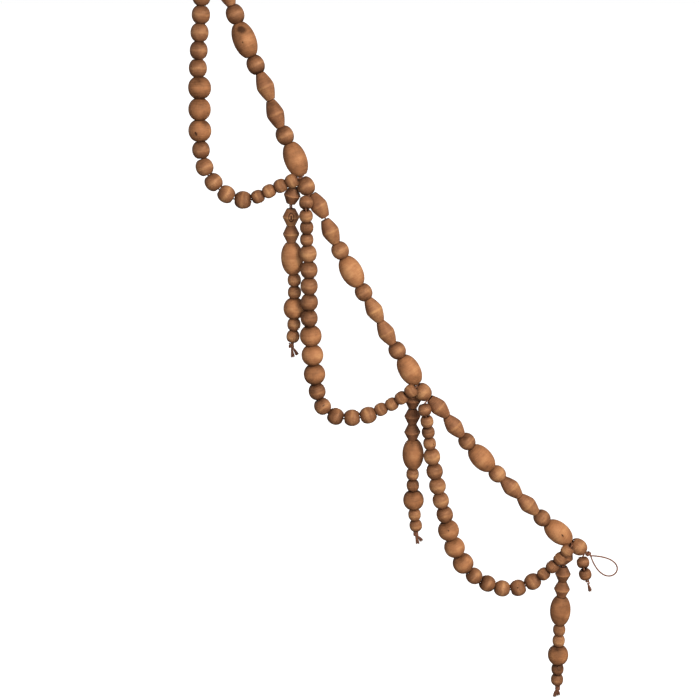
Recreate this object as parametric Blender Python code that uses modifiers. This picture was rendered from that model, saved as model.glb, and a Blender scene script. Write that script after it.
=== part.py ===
"""Wood bead garland: turned, stained beads strung on cord.

A main strand runs down from a hanging loop at the upper left to a second loop at
the lower right. Its four junction beads carry three swags, and a short drop of
beads hangs at each of the lower three. The main strand lies in the XZ plane, seen
from -Y, with the swags just in front of it and the drops just behind. The origin is
the point where the top loop rests on its hook.

Sizes are in millimetres here, and MM turns them into metres.
"""

import math
from collections import namedtuple

import bmesh
import bpy
import numpy as np
from mathutils import Matrix, Vector

MM = 0.001

# Beads: width across the belly, length along the bore, and the flat at each end.
# A round belly is part of an ellipse, a ridged one is two cones with a slight bulge.
Bead = namedtuple("Bead", "width length flat belly bulge wood")
BEADS = {
    "small":        Bead(12.4, 11.3, 6.4, "round", 0.0, "round_bead"),
    "medium":       Bead(16.2, 15.2, 8.0, "round", 0.0, "round_bead"),
    "large":        Bead(20.5, 18.8, 9.2, "round", 0.0, "oval_bead"),
    "oval":         Bead(20.8, 29.5, 9.4, "round", 0.0, "oval_bead"),
    "long_bicone":  Bead(16.2, 24.4, 7.8, "ridged", 0.7, "bicone_bead"),
    "short_bicone": Bead(16.0, 15.6, 7.8, "ridged", 0.0, "bicone_bead"),
}
BORE = 4.2
SIDES = 8
ROUND_STEPS = 4

# Cord: two strands lie side by side wherever a bead holds a pair of them.
CORD = 1.2
CLEAR = 0.32
PAIR = (CORD + CLEAR) / 2
BEVEL_RESOLUTION = 1

# Bare cord at a junction bead: above it, where the drop is slung and the swag ends,
# and below it, where the next swag starts.
GAP_ABOVE = 2 * CORD + 4 * CLEAR
GAP_BELOW = CORD + 2.2 * CLEAR
RUN_GAP = 0.4

# Two neighbouring beads stand JOINT apart. Where the strand bends they lean apart about
# the place at which they bear on each other, BEARING of the flat's radius off the middle.
JOINT = 0.5
BEARING = 0.35
STRING_PASSES = 4

# Beads of one section of the main strand, of one swag and of one drop, in order. The slack
# is bare cord past the first bead of each section.
SECTION = ("long_bicone", "long_bicone", "medium", "oval", "medium",
           "long_bicone", "long_bicone", "medium", "oval")
SECTION_SLACK = (0.0, 1.3, 0.0)
SWAG_RUNS = (("small_a", ("small",) * 4), ("medium_a", ("medium",) * 5), ("large", ("large",) * 3),
             ("medium_b", ("medium",) * 5), ("small_b", ("small",) * 4))
DROP_TOP = "short_bicone"
DROP_STRING = ("short_bicone", "short_bicone", "oval", "small", "small", "large", "small", "small")

# Route of the main strand. Columns: x, y, z, junction number where a junction bead sits.
MAIN_ROUTE = (
    (3.9, 0.0, -27.5, None),
    (10.5, 0.0, -46.5, 0),
    (18.0, 0.0, -68.0, None),
    (26.5, 0.0, -92.0, None),
    (34.0, 0.0, -111.4, None),
    (42.1, 0.0, -134.0, None),
    (60.4, 0.0, -175.8, None),
    (69.1, 0.0, -200.4, None),
    (86.5, 0.0, -240.5, None),
    (95.0, 0.0, -264.5, 1),
    (107.0, 0.0, -281.7, None),
    (117.9, 0.0, -306.2, None),
    (138.1, 0.0, -345.4, None),
    (159.2, 0.0, -381.8, None),
    (171.5, 0.0, -405.0, None),
    (192.8, 0.0, -440.0, None),
    (205.3, 0.0, -462.3, 2),
    (220.1, 0.0, -475.7, None),
    (236.0, 0.0, -495.6, None),
    (263.2, 0.0, -528.0, None),
    (293.5, 0.0, -559.1, None),
    (310.3, 0.0, -576.7, None),
    (340.7, 0.0, -605.6, None),
    (362.2, 0.0, -621.8, 3),
    (370.2, 0.0, -627.8, None),
)

# Routes of the swags, from the mouth of the first bead to the mouth of the last.
# Columns: x, y, z.
SWAG_ROUTES = (
    ((0.6, -11.8, -42.5), (2.0, -11.4, -50.0), (3.8, -9.5, -60.0), (5.0, -6.8, -72.0),
     (5.3, -5.0, -83.0), (4.9, -4.2, -96.0), (4.0, -4.0, -111.0), (2.3, -4.0, -127.0),
     (1.1, -4.0, -142.2), (-0.1, -4.0, -157.8), (0.9, -4.0, -175.0), (0.3, -4.0, -194.2),
     (0.0, -4.0, -213.4), (0.5, -4.0, -230.6), (3.3, -4.0, -246.2), (11.0, -4.0, -259.7),
     (22.5, -4.0, -271.0), (38.0, -4.0, -276.3), (52.3, -4.5, -272.9), (61.8, -5.0, -268.1),
     (72.2, -5.6, -263.2), (83.0, -6.5, -258.4), (88.1, -7.0, -256.1)),
    ((95.8, -6.5, -273.6), (95.7, -9.6, -278.0), (95.7, -11.4, -282.8), (95.7, -10.1, -289.4),
     (96.1, -7.1, -300.8), (96.0, -5.5, -313.0), (97.1, -4.5, -326.0), (97.8, -4.5, -341.5),
     (97.8, -4.5, -357.4), (97.9, -4.5, -373.0), (97.6, -4.5, -388.2), (99.0, -4.5, -405.6),
     (100.5, -4.5, -424.7), (102.4, -4.5, -443.6), (105.0, -4.5, -461.2), (110.6, -4.5, -475.8),
     (123.7, -4.5, -485.3), (139.7, -4.5, -486.0), (155.0, -4.5, -483.0), (166.6, -4.5, -477.2),
     (176.6, -5.0, -472.0), (185.4, -7.4, -465.0), (193.9, -9.0, -457.9), (198.2, -8.4, -454.3)),
    ((206.5, -5.1, -472.5), (207.4, -6.7, -477.4), (208.5, -7.2, -482.4), (209.7, -6.1, -488.7),
     (211.3, -4.3, -500.5), (212.8, -4.0, -511.9), (215.2, -4.0, -525.0), (218.1, -4.0, -540.5),
     (221.0, -4.0, -555.0), (224.6, -4.0, -570.6), (228.9, -4.0, -585.9), (233.0, -4.0, -603.0),
     (239.1, -4.0, -620.4), (248.1, -4.0, -637.7), (258.9, -4.0, -650.8), (271.6, -4.0, -658.8),
     (285.6, -4.0, -664.3), (300.2, -4.0, -664.8), (314.4, -4.0, -659.2), (325.4, -4.6, -651.0),
     (334.8, -6.0, -641.8), (342.5, -7.6, -631.8), (349.4, -9.7, -621.6), (352.6, -10.7, -617.0)),
)

# Way of the swag cord from under the top knot, in front of the first junction bead, to
# the first swag. Columns: x, y, z.
START_ROUTE = ((5.7, -5.3, -39.1), (2.4, -9.6, -38.6), (0.7, -11.5, -40.6))

# End of the swag cord past the last junction: two small beads, a knot and a tail.
TAIL_ROUTE = ((366.2, -3.7, -630.8), (366.2, -6.7, -635.5), (366.8, -9.0, -640.4),
              (368.2, -9.2, -646.2), (370.4, -8.6, -652.0))

# Drops. Columns: junction it hangs at, mouth and foot of the leaning top bead, route of
# the string below it, and the tips of the two cord ends.
Drop = namedtuple("Drop", "junction top_mouth top_foot string tips")
DROPS = (
    Drop(1, (84.1, 4.0, -265.4), (81.1, 5.2, -281.1),
         ((81.3, 5.5, -285.7), (81.1, 6.5, -310.0), (81.8, 6.5, -334.4), (83.6, 6.5, -355.0),
          (83.1, 6.5, -381.5), (82.4, 6.5, -402.0), (80.9, 6.5, -413.9)),
         ((81.4, 5.0, -428.6), (85.8, 7.5, -426.6))),
    Drop(2, (197.0, 7.8, -464.3), (196.5, 8.0, -480.2),
         ((196.5, 8.0, -480.9), (196.6, 8.0, -503.6), (197.6, 8.0, -528.0), (197.4, 8.0, -547.9),
          (198.6, 8.0, -574.6), (200.2, 8.0, -594.0), (202.0, 8.0, -607.9)),
         ((203.6, 7.0, -621.6), (207.6, 9.2, -619.6))),
    Drop(3, (353.8, 5.6, -627.2), (348.2, 6.4, -641.9),
         ((349.2, 6.5, -645.6), (348.9, 6.5, -670.0), (348.2, 6.5, -695.0), (348.0, 6.5, -728.4),
          (348.2, 6.5, -777.0)),
         ((346.0, 5.3, -790.4), (350.8, 7.8, -790.0))),
)

# Knots and loops: two tilted turns of cord make a knot, and a loop is drop-shaped.
PAIR_KNOT_WIDTH = 5.4
SINGLE_KNOT_WIDTH = 4.0
KNOT_TURN = 1.7
KNOT_PITCH = 1.7
KNOT_TILTS = (24.0, -20.0)
KNOT_LENGTH = 6.0
TAIL_LENGTH = 14.0
FRAY = 2.1
LOOP_HEIGHT = 32.0
LOOP_WIDTH = 17.0
LOOP_STEPS = 16

# How far a cord runs straight out of a bead, and straight in to the bore of a junction bead.
LEAD_OUT = 2.0
LEAD_IN = 4.4

# Bight of a drop cord round the main cord: its reach from that cord's middle, and how
# far out and back its two strands run before they turn down.
BIGHT = CORD + CLEAR + 0.12
BIGHT_STEPS = 7
BIGHT_OUT = 5.2
BIGHT_BACK = 1.5

Material = namedtuple("Material", "color roughness")
MATERIALS = {
    "round_bead":  Material((0.355, 0.165, 0.075), 0.42),
    "oval_bead":   Material((0.375, 0.180, 0.085), 0.55),
    "bicone_bead": Material((0.300, 0.135, 0.060), 0.48),
    "cord":        Material((0.085, 0.035, 0.018), 0.85),
}

Placed = namedtuple("Placed", "kind head foot")


def vec(point):
    """A point of a table as an array."""
    return np.array(point, float)


def unit(direction):
    """The direction with length one."""
    return direction / np.linalg.norm(direction)


def smooth_route(points, steps=24):
    """Centripetal Catmull-Rom curve through the points, and the curve's index at each point."""
    pts = np.array(points, float)
    pts = np.vstack([2 * pts[0] - pts[1], pts, 2 * pts[-1] - pts[-2]])
    curve = [pts[1]]
    for a, b, c, d in zip(pts, pts[1:], pts[2:], pts[3:]):
        ta = 0.0
        tb = ta + math.sqrt(np.linalg.norm(b - a))
        tc = tb + math.sqrt(np.linalg.norm(c - b))
        td = tc + math.sqrt(np.linalg.norm(d - c))
        t = np.linspace(tb, tc, steps + 1)[1:, None]
        ab = ((tb - t) * a + (t - ta) * b) / (tb - ta)
        bc = ((tc - t) * b + (t - tb) * c) / (tc - tb)
        cd = ((td - t) * c + (t - tc) * d) / (td - tc)
        abc = ((tc - t) * ab + (t - ta) * bc) / (tc - ta)
        bcd = ((td - t) * bc + (t - tb) * cd) / (td - tb)
        curve.extend(((tc - t) * abc + (t - tb) * bcd) / (tc - tb))
    return np.array(curve), steps


def measure(curve):
    """Length along the curve at each of its points."""
    return np.concatenate([[0.0], np.cumsum(np.linalg.norm(np.diff(curve, axis=0), axis=1))])


def point_at(curve, lengths, s):
    """The point of the curve at length s along it."""
    return np.array([np.interp(s, lengths, curve[:, k]) for k in range(3)])


def string_beads(curve, kinds, start, end, slack=0.0):
    """Beads strung between two lengths along the curve, stretched by one share to fill it.

    Where the strand bends, each joint opens into a wedge. The slack widens the first joint.
    """
    lengths = measure(curve)
    flats = np.array([BEADS[kind].flat for kind in kinds])
    sizes = np.array([BEADS[kind].length for kind in kinds])
    gaps = np.full(len(kinds) - 1, JOINT)
    for _ in range(STRING_PASSES):
        fitted = sizes * (end - start - gaps.sum()) / sizes.sum()
        heads = start + np.concatenate([[0.0], np.cumsum(fitted[:-1] + gaps)])
        chords = [unit(point_at(curve, lengths, s + length) - point_at(curve, lengths, s))
                  for s, length in zip(heads, fitted)]
        bends = [math.acos(min(1.0, np.dot(a, b))) for a, b in zip(chords, chords[1:])]
        gaps = JOINT + np.tan(np.array(bends) / 2) * BEARING * (flats[:-1] + flats[1:]) / 2
        gaps[0] += slack
    placed = []
    for kind, s, length, chord in zip(kinds, heads, fitted, chords):
        centre = point_at(curve, lengths, s + length / 2)
        placed.append(Placed(kind, centre - chord * length / 2, centre + chord * length / 2))
    return placed


def bead_outline(bead):
    """Rows of (share of the length from head to foot, radius) down one side of a bead."""
    half, flat = bead.width / 2, bead.flat / 2
    if bead.belly == "round":
        cut = math.asin(math.sqrt(1 - (flat / half) ** 2))
        angles = np.linspace(-cut, cut, ROUND_STEPS + 1)
        rows = [((math.sin(a) / math.sin(cut) + 1) / 2, half * math.cos(a)) for a in angles]
    elif bead.bulge:
        middle = (half + flat) / 2 + bead.bulge
        rows = [(0, flat), (0.25, middle), (0.5, half), (0.75, middle), (1, flat)]
    else:
        rows = [(0, flat), (0.5, half), (1, flat)]
    return rows


def make_material(name):
    """A Principled material from the table."""
    look = MATERIALS[name]
    material = bpy.data.materials.new(name)
    material.use_nodes = True
    shader = material.node_tree.nodes["Principled BSDF"]
    shader.inputs["Base Color"].default_value = (*look.color, 1.0)
    shader.inputs["Roughness"].default_value = look.roughness
    shader.inputs["Metallic"].default_value = 0.0
    return material


def add_object(name, mesh, collection, material):
    """A new object in the collection, with its material."""
    obj = bpy.data.objects.new(name, mesh)
    mesh.materials.clear()
    mesh.materials.append(material)
    collection.objects.link(obj)
    return obj


def axis_turn(axis):
    """Rotation that takes Z to the axis."""
    return Vector(axis).to_track_quat("Z", "Y").to_matrix().to_4x4()


def turned_bead(name, placed, collection, materials):
    """One bead with its bore: its half outline, closed along the bore, turned about Z."""
    bead = BEADS[placed.kind]
    length = np.linalg.norm(placed.foot - placed.head)
    outline = [(radius, length * (0.5 - share)) for share, radius in bead_outline(bead)]
    outline += [(BORE / 2, -length / 2), (BORE / 2, length / 2)]
    points = [(x * MM, 0.0, z * MM) for x, z in outline]
    edges = [(k, (k + 1) % len(points)) for k in range(len(points))]
    mesh = bpy.data.meshes.new(name)
    mesh.from_pydata(points, edges, [])
    obj = add_object(name, mesh, collection, materials[bead.wood])
    screw = obj.modifiers.new("turn", "SCREW")
    screw.axis = "Z"
    screw.angle = math.tau
    screw.steps = SIDES
    screw.render_steps = SIDES
    screw.use_merge_vertices = False
    screw.merge_threshold = 0.00001
    screw.use_smooth_shade = True
    centre = (placed.head + placed.foot) / 2
    obj.matrix_world = Matrix.Translation(Vector(centre * MM)) @ axis_turn(placed.head - placed.foot)
    return obj


def ring(centre, axis, radius):
    """Points of a circle about the axis, started square to Y so that rings never twist."""
    side = unit(np.cross(axis, (0.0, 1.0, 0.0)))
    front = np.cross(axis, side)
    angles = np.arange(SIDES) * math.tau / SIDES
    return centre + radius * (np.outer(np.cos(angles), side) + np.outer(np.sin(angles), front))


def joint_plane(above, below):
    """Middle and direction of the joint between two beads of a strand."""
    middle = (above.foot + below.head) / 2
    return middle, unit(unit(above.foot - above.head) + unit(below.foot - below.head))


def bead_run(name, beads, before, after, collection, material):
    """Neighbouring beads as one bored body, lofted ring by ring along the strand.

    Beads of a run share the ring at each joint. The end faces lie square to the strand,
    so that the next run stands parallel to them, a small gap away.
    """
    outer, inner = [], []

    def end_face(own, other, toward):
        if other is None:
            axis = unit(own.foot - own.head)
            middle = own.foot if toward > 0 else own.head
        else:
            pair = (own, other) if toward > 0 else (other, own)
            middle, axis = joint_plane(*pair)
            middle = middle - toward * axis * RUN_GAP / 2
        return middle, axis

    for k, placed in enumerate(beads):
        bead = BEADS[placed.kind]
        rows = bead_outline(bead)
        if k == 0:
            middle, axis = end_face(placed, before, -1)
            outer.append(ring(middle, axis, bead.flat / 2))
        else:
            middle, axis = joint_plane(beads[k - 1], placed)
            neck = min(bead.flat, BEADS[beads[k - 1].kind].flat) / 2
            outer.append(ring(middle, axis, neck))
        inner.append(ring(middle, axis, BORE / 2))
        axis = unit(placed.foot - placed.head)
        for share, radius in rows[1:-1]:
            outer.append(ring(placed.head + share * (placed.foot - placed.head), axis, radius))
    middle, axis = end_face(beads[-1], after, 1)
    outer.append(ring(middle, axis, BEADS[beads[-1].kind].flat / 2))
    inner.append(ring(middle, axis, BORE / 2))

    mesh = bpy.data.meshes.new(name)
    bm = bmesh.new()
    loops = [[bm.verts.new(Vector(p * MM)) for p in points] for points in outer + inner[::-1]]
    for upper, lower in zip(loops, loops[1:] + loops[:1]):
        for k in range(SIDES):
            nxt = (k + 1) % SIDES
            bm.faces.new((upper[k], upper[nxt], lower[nxt], lower[k]))
    bmesh.ops.recalc_face_normals(bm, faces=bm.faces)
    bm.to_mesh(mesh)
    bm.free()
    mesh.shade_smooth()
    mesh.set_sharp_from_angle(angle=math.radians(50))
    return add_object(name, mesh, collection, material)


def ease_corners(points, reach=0.55, sharp=20.0):
    """Each sharp corner of a route replaced by two points, one on each side of it."""
    eased = [points[0]]
    for before, here, after in zip(points, points[1:], points[2:]):
        back, on = before - here, after - here
        turn = 180 - math.degrees(math.acos(np.clip(np.dot(unit(back), unit(on)), -1, 1)))
        if turn < sharp:
            eased.append(here)
            continue
        for arm in (back, on):
            eased.append(here + unit(arm) * min(reach, 0.4 * np.linalg.norm(arm)))
    eased.append(points[-1])
    return eased


def cord_tube(name, points, collection, material, frayed=()):
    """A closed tube of cord along the points, as a mesh with its caps welded.

    Frayed holds the indices of the end points at which the cord opens out.
    """
    curve = bpy.data.curves.new(name + "_route", "CURVE")
    curve.dimensions = "3D"
    curve.bevel_depth = CORD / 2 * MM
    curve.bevel_resolution = BEVEL_RESOLUTION
    curve.use_fill_caps = True
    curve.render_resolution_u = 0
    spline = curve.splines.new("POLY")
    spline.points.add(len(points) - 1)
    for target, point in zip(spline.points, points):
        target.co = (*(point * MM), 1.0)
    for k in frayed:
        spline.points[k].radius = FRAY
    guide = bpy.data.objects.new(name + "_route", curve)
    collection.objects.link(guide)
    graph = bpy.context.evaluated_depsgraph_get()
    mesh = bpy.data.meshes.new_from_object(guide.evaluated_get(graph))
    bpy.data.objects.remove(guide)
    bm = bmesh.new()
    bm.from_mesh(mesh)
    bmesh.ops.remove_doubles(bm, verts=bm.verts, dist=0.000001)
    bm.to_mesh(mesh)
    bm.free()
    mesh.shade_smooth()
    return add_object(name, mesh, collection, material)


def knot(obj, centre, axis, width, cutters):
    """Two tilted turns of cord about the axis, joined to the strands that pass through them."""
    for k, tilt in enumerate(KNOT_TILTS):
        bpy.ops.mesh.primitive_torus_add(
            major_segments=10, minor_segments=6,
            major_radius=(width - KNOT_TURN) / 2 * MM, minor_radius=KNOT_TURN / 2 * MM)
        turn = bpy.context.object
        turn.name = f"{obj.name}_turn_{k + 1}"
        place = centre + unit(axis) * (k - 0.5) * KNOT_PITCH
        lean = Matrix.Rotation(math.radians(tilt), 4, "Y")
        turn.matrix_world = Matrix.Translation(Vector(place * MM)) @ axis_turn(axis) @ lean
        turn.hide_render = True
        turn.display_type = "WIRE"
        for home in list(turn.users_collection):
            home.objects.unlink(turn)
        cutters.objects.link(turn)
        union = obj.modifiers.new(turn.name, "BOOLEAN")
        union.operation = "UNION"
        union.solver = "EXACT"
        union.object = turn


def beside(point, offset):
    """The point moved along Y, where one strand of a pair lies."""
    return point + vec((0.0, offset, 0.0))


def threaded(beads, offset=0.0):
    """A cord's points through a row of beads, from mouth to mouth, moved along Y."""
    joints = [(above.foot + below.head) / 2 for above, below in zip(beads, beads[1:])]
    return [beside(point, offset) for point in (beads[0].head, *joints, beads[-1].foot)]


def direction(beads):
    """Way the strand runs through a row of beads."""
    return unit(beads[-1].foot - beads[0].head)


def radial_step(point, along, target):
    """A point square out from the strand at the point, on the side of the target."""
    outward = target - point
    return point + unit(outward - along * np.dot(outward, along)) * LEAD_IN


def hanging_loop(foot, base, rise):
    """Points of a loop: up one leg from its foot, round a drop shape, and down the other."""
    side = unit(np.cross(rise, (0.0, 1.0, 0.0)))
    points = [beside(foot, -PAIR), beside(base, -PAIR)]
    for k in range(1, LOOP_STEPS):
        turn = math.tau * k / LOOP_STEPS
        out = LOOP_WIDTH / 2 * math.sin(turn) * math.sin(turn / 2) * 1.3
        middle = base + rise * (1 - math.cos(turn)) / 2 + side * out
        points.append(beside(middle, PAIR * (2 * k / LOOP_STEPS - 1)))
    return points + [beside(base, PAIR), beside(foot, PAIR)]


def main():
    """Builds the whole garland."""
    for obj in list(bpy.data.objects):
        bpy.data.objects.remove(obj, do_unlink=True)
    parts = bpy.data.collections.new("wood_bead_garland")
    cutters = bpy.data.collections.new("garland_cutters")
    bpy.context.scene.collection.children.link(parts)
    bpy.context.scene.collection.children.link(cutters)
    materials = {name: make_material(name) for name in MATERIALS}
    cord = materials["cord"]

    # Main strand: junction beads at their places, and a section between each two.
    curve, steps = smooth_route([row[:3] for row in MAIN_ROUTE])
    lengths = measure(curve)
    places = [lengths[k * steps] for k, row in enumerate(MAIN_ROUTE) if row[3] is not None]
    half = BEADS["medium"].length / 2
    junctions = [Placed("medium", point_at(curve, lengths, s - half), point_at(curve, lengths, s + half))
                 for s in places]
    sections = [string_beads(curve, SECTION, above + half + GAP_BELOW, below - half - GAP_ABOVE, slack)
                for above, below, slack in zip(places, places[1:], SECTION_SLACK)]
    strand = [junctions[0]]
    for section, junction in zip(sections, junctions[1:]):
        strand += section + [junction]
    for k, placed in enumerate(strand):
        turned_bead(f"main_{k + 1:02d}_{placed.kind}", placed, parts, materials)

    # Swags: each is five runs of beads of one size.
    swags = []
    for n, route in enumerate(SWAG_ROUTES):
        path = smooth_route(route)[0]
        kinds = sum((run for _, run in SWAG_RUNS), ())
        beads = string_beads(path, kinds, 0.0, measure(path)[-1])
        swags.append(beads)
        first = 0
        for label, run in SWAG_RUNS:
            last = first + len(run)
            before = beads[first - 1] if first else None
            after = beads[last] if last < len(beads) else None
            wood = materials[BEADS[run[0]].wood]
            bead_run(f"swag_{n + 1}_{label}", beads[first:last], before, after, parts, wood)
            first = last
    tail_path = smooth_route(TAIL_ROUTE)[0]
    tail = string_beads(tail_path, ("small", "small"), 0.0, measure(tail_path)[-1])
    bead_run("swag_4_start", tail, None, None, parts, materials["round_bead"])

    # Drops: the leaning top bead by itself, and the string below it.
    drops = []
    for n, drop in enumerate(DROPS):
        top = Placed(DROP_TOP, vec(drop.top_mouth), vec(drop.top_foot))
        path = smooth_route(drop.string)[0]
        beads = string_beads(path, DROP_STRING, 0.0, measure(path)[-1])
        turned_bead(f"drop_{n + 1}_top", top, parts, materials)
        bead_run(f"drop_{n + 1}_string", beads, None, None, parts, materials["oval_bead"])
        drops.append((top, beads))

    # Top loop: its two legs come down through the knot and meet the two cords of the garland.
    up = -direction(junctions[:1])
    top_foot = junctions[0].head + up * GAP_BELOW
    top_base = top_foot + up * KNOT_LENGTH
    rise = vec((0.0, 0.0, CORD / 2)) - top_base
    loop = cord_tube("hanging_loop_top", hanging_loop(top_foot, top_base, rise), parts, cord)
    knot(loop, (top_foot + top_base) / 2, up, PAIR_KNOT_WIDTH, cutters)

    # End loop, knotted just past the last junction bead.
    lean = direction(junctions[3:])
    end_foot = junctions[3].foot + lean * GAP_BELOW
    end_base = end_foot + lean * KNOT_LENGTH
    legs = hanging_loop(end_foot, end_base, lean * LOOP_HEIGHT)
    loop = cord_tube("hanging_loop_end", legs, parts, cord)
    knot(loop, (end_foot + end_base) / 2, lean, PAIR_KNOT_WIDTH, cutters)

    # Main cord: from the top knot through every bead of the main strand to the end knot.
    points = [beside(top_foot - up * CLEAR, PAIR)]
    for junction, section in zip(junctions, sections):
        points += threaded([junction], PAIR) + threaded(section, PAIR)
    points += threaded(junctions[3:], PAIR) + [beside(end_foot - lean * CLEAR, PAIR)]
    cord_tube("main_cord", ease_corners(points), parts, cord)

    # Swag cord: from the top knot through the first swag, then through each junction bead
    # and on into the next swag.
    points = [beside(top_foot - up * GAP_BELOW / 2, -PAIR)] + [vec(row) for row in START_ROUTE]
    points += threaded(swags[0], -PAIR)
    for n, (beads, after) in enumerate(zip(swags, swags[1:] + [tail])):
        junction = junctions[n + 1]
        along = direction([junction])
        entry = beside(junction.head - along * (CLEAR + CORD / 2), -PAIR)
        points.append(beside(beads[-1].foot + direction(beads[-1:]) * LEAD_OUT, -PAIR))
        points += [radial_step(entry, along, beads[-1].foot), entry, *threaded([junction], -PAIR)]
        if n + 1 < len(sections):
            along = unit(along + direction(sections[n + 1][:1]))
        leave = beside(junction.foot + along * GAP_BELOW / 2, -PAIR)
        points += [leave, radial_step(leave, along, after[0].head), *threaded(after, -PAIR)]
    down = direction(tail[-1:])
    tail_end = beside(tail[-1].foot, -PAIR)
    points.append(tail_end + down * TAIL_LENGTH)
    swag_cord = cord_tube("swag_cord", ease_corners(points), parts, cord, (-1,))
    knot(swag_cord, tail_end + down * KNOT_LENGTH / 2, down, SINGLE_KNOT_WIDTH, cutters)

    # Drop cords: each is doubled over the main cord, just above a junction bead.
    for n, (drop, (top, beads)) in enumerate(zip(DROPS, drops)):
        junction = junctions[drop.junction]
        above = sections[drop.junction - 1][-1]
        along = unit(direction([above]) + direction([junction]))
        share = (1.5 * CLEAR + CORD / 2) / GAP_ABOVE
        held = beside(above.foot + share * (junction.head - above.foot), PAIR)
        across = unit(np.cross(along, (0.0, 1.0, 0.0)))
        across = across if across[2] < 0 else -across
        bight = [held + BIGHT * (math.cos(a) * vec((0.0, 1.0, 0.0)) - math.sin(a) * across)
                 for a in np.linspace(0.0, math.pi, BIGHT_STEPS)]
        foot, down = beads[-1].foot, direction(beads)
        sides = []
        for sign, tip in zip((1, -1), drop.tips):
            side = [vec(tip), beside(foot + down * KNOT_LENGTH, sign * PAIR)]
            side += threaded(beads, sign * PAIR)[::-1]
            side += threaded([top], sign * PAIR)[::-1]
            side.append(beside(top.head - direction([top]) * LEAD_OUT, sign * PAIR))
            side.append(beside(held, sign * BIGHT + BIGHT_BACK) + across * BIGHT_OUT)
            sides.append(side)
        points = sides[0] + bight + sides[1][::-1]
        drop_cord = cord_tube(f"drop_cord_{n + 1}", ease_corners(points), parts, cord, (0, -1))
        knot(drop_cord, foot + down * KNOT_LENGTH / 2, down, PAIR_KNOT_WIDTH, cutters)


main()
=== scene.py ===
# %% [markdown]
# # A garland of turned wood beads
#
# The object is a string of stained wood beads. A main strand slants down from a hanging
# loop, three swags hang from its junction beads, and a short drop of beads hangs at each.
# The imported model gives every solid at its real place. This script dresses it: each bead
# becomes a finely turned surface with a bore, and each cord a laid twine with real knots
# and frayed ends. Lengths are written in millimetres and turned into metres by MM.

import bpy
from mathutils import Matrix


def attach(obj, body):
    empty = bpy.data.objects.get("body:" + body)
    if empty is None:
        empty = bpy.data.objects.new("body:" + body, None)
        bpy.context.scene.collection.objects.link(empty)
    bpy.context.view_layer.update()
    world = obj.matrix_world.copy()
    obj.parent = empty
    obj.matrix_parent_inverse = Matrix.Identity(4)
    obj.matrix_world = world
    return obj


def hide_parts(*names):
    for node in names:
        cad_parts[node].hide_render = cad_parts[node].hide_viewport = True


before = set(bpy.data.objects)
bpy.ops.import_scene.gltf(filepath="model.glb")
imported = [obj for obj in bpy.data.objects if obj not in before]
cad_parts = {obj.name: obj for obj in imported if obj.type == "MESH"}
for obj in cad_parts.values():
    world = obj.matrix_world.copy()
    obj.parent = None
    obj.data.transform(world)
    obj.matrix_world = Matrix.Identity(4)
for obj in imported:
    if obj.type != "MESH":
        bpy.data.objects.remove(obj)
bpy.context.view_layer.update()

import math
from collections import namedtuple

import bpy
import numpy as np
from mathutils import Vector

MM = 0.001


def new_object(name, data):
    """A new object with that data, in the scene."""
    obj = bpy.data.objects.new(name, data)
    bpy.context.scene.collection.objects.link(obj)
    return obj


print("nodes in the packed model:", len(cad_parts))

# %% [markdown]
# ## Camera
#
# The photograph looks slightly down on the garland from the front, with a long lens, so
# the strands keep their size from top to bottom. The camera stands that far back, tilted
# down by the same angle, and looks at the middle of the picture's own field.

# %% Camera
IMAGE = 700
FOCAL_PIXELS = 1300
SENSOR = 36
DOWN = math.radians(15)
AIM = np.array([136, 0, -420])
DISTANCE = 1235

camera_data = bpy.data.cameras.new("camera")
camera_data.sensor_width = SENSOR
camera_data.lens = FOCAL_PIXELS * SENSOR / IMAGE
camera = new_object("camera", camera_data)
camera.location = (AIM + DISTANCE * np.array([0, -math.cos(DOWN), math.sin(DOWN)])) * MM
camera.rotation_euler = (math.pi / 2 - DOWN, 0, 0)
bpy.context.scene.camera = camera
print("lens", round(camera_data.lens, 2), "mm, place", [round(x, 4) for x in camera.location])

# %% [markdown]
# ## Colours and nodes
#
# Colours are written as sRGB hex values, as on a paint chart, and one function turns them
# to linear ones. Another adds a node with its settings and links, and those after it make
# the few kinds that come again and again, so that a material reads as a short list.

# %% Helpers for colours and nodes
def linear(hex_colour):
    """sRGB hex to linear: a channel c becomes c / 12.92 if small, else ((c + 0.055) / 1.055) ** 2.4."""
    channels = [int(hex_colour[k:k + 2], 16) / 255 for k in (1, 3, 5)]
    return tuple(c / 12.92 if c <= 0.04045 else ((c + 0.055) / 1.055) ** 2.4 for c in channels) + (1.0,)


def add(tree, kind, inputs=None, **settings):
    """Adds a shader node of that kind. An input is a value, or an output socket to link from."""
    node = tree.nodes.new("ShaderNode" + kind)
    for name, value in settings.items():
        setattr(node, name, value)
    for name, value in (inputs or {}).items():
        socket = node.inputs[name]
        if isinstance(value, bpy.types.NodeSocket):
            tree.links.new(value, socket)
        else:
            socket.default_value = value
    return node


def number(tree, operation, *values):
    """The result of a math node, with its inputs in order."""
    return add(tree, "Math", dict(enumerate(values)), operation=operation).outputs[0]


def remap(tree, value, start, stop, low=0.0, high=1.0, course="LINEAR"):
    """The value carried from the range start to stop over to the range low to high."""
    return add(tree, "MapRange", {
        "Value": value, "From Min": start, "From Max": stop, "To Min": low, "To Max": high},
        interpolation_type=course).outputs["Result"]


def noise(tree, vector, size, detail, roughness=0.5):
    """Noise whose grains have that size along x, y and z."""
    scaled = add(tree, "Mapping", {"Vector": vector, "Scale": tuple(1 / s for s in size)})
    return add(tree, "TexNoise", {
        "Vector": scaled.outputs["Vector"], "Scale": 1.0, "Detail": detail,
        "Roughness": roughness}).outputs["Fac"]


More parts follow.
